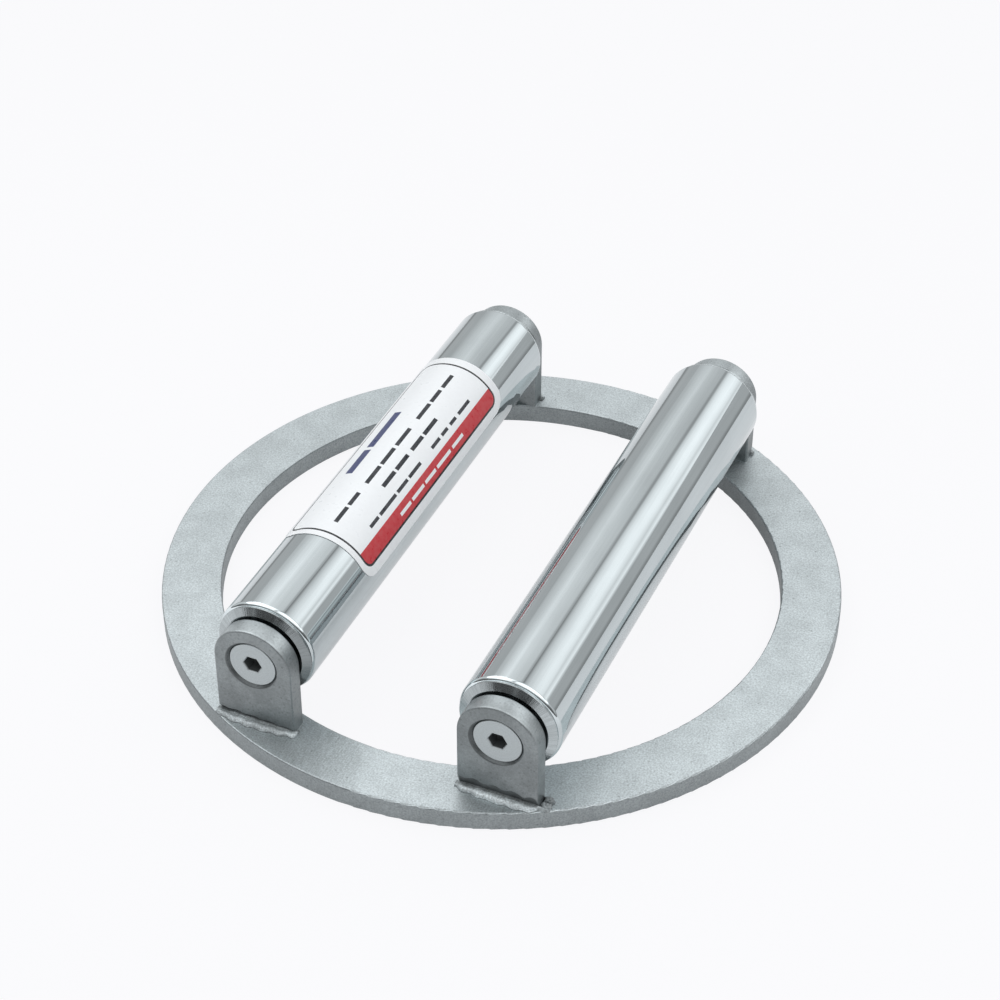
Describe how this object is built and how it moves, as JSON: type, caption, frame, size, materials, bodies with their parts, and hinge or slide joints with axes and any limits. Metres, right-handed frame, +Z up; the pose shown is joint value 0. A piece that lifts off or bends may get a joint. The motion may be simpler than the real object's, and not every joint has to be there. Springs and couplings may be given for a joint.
{
  "type": "round magnetic grate separator",
  "caption": "Flat round stainless ring carrying parallel sealed magnetic bars between welded lugs, laid in a hopper or pipe mouth to catch iron.",
  "frame": {"origin": "centre of the ring on its underside", "axes": "+Z up, out of the ring's underside towards the bars; the bars run along Y; the end with the label's wide margin of bare tube is seen from -Y"},
  "size_m": [0.172, 0.172, 0.0363],
  "materials": {
    "blasted_stainless": "bead blasted, matt",
    "lug_stainless": "blasted flat bar, eased edges",
    "weld_metal": "as laid, blasted",
    "polished_stainless": "mirror polished",
    "turned_stainless": "turned and ground",
    "screw_stainless": "satin",
    "printed_film": "printed film, satin",
    "magnet": "nickel plated",
    "pole_iron": "machined mild steel"
  },
  "bodies": {
    "root": {"base_ring": "blasted_stainless", "end_plug_front_left": "turned_stainless", "end_plug_front_right": "turned_stainless", "end_plug_rear_left": "turned_stainless", "end_plug_rear_right": "turned_stainless", "label": "printed_film", "lug_front_left": "lug_stainless", "lug_front_right": "lug_stainless", "lug_rear_left": "lug_stainless", "lug_rear_right": "lug_stainless", "magnet_left_1": "magnet", "magnet_left_2": "magnet", "magnet_left_3": "magnet", "magnet_left_4": "magnet", "magnet_left_5": "magnet", "magnet_right_1": "magnet", "magnet_right_2": "magnet", "magnet_right_3": "magnet", "magnet_right_4": "magnet", "magnet_right_5": "magnet", "pole_plate_left_1": "pole_iron", "pole_plate_left_2": "pole_iron", "pole_plate_left_3": "pole_iron", "pole_plate_left_4": "pole_iron", "pole_plate_left_5": "pole_iron", "pole_plate_left_6": "pole_iron", "pole_plate_right_1": "pole_iron", "pole_plate_right_2": "pole_iron", "pole_plate_right_3": "pole_iron", "pole_plate_right_4": "pole_iron", "pole_plate_right_5": "pole_iron", "pole_plate_right_6": "pole_iron", "screw_front_left": "screw_stainless", "screw_front_right": "screw_stainless", "screw_rear_left": "screw_stainless", "screw_rear_right": "screw_stainless", "tube_left": "polished_stainless", "tube_right": "polished_stainless", "weld_front_left": "weld_metal", "weld_front_right": "weld_metal", "weld_rear_left": "weld_metal", "weld_rear_right": "weld_metal"}
  },
  "joints": []
}
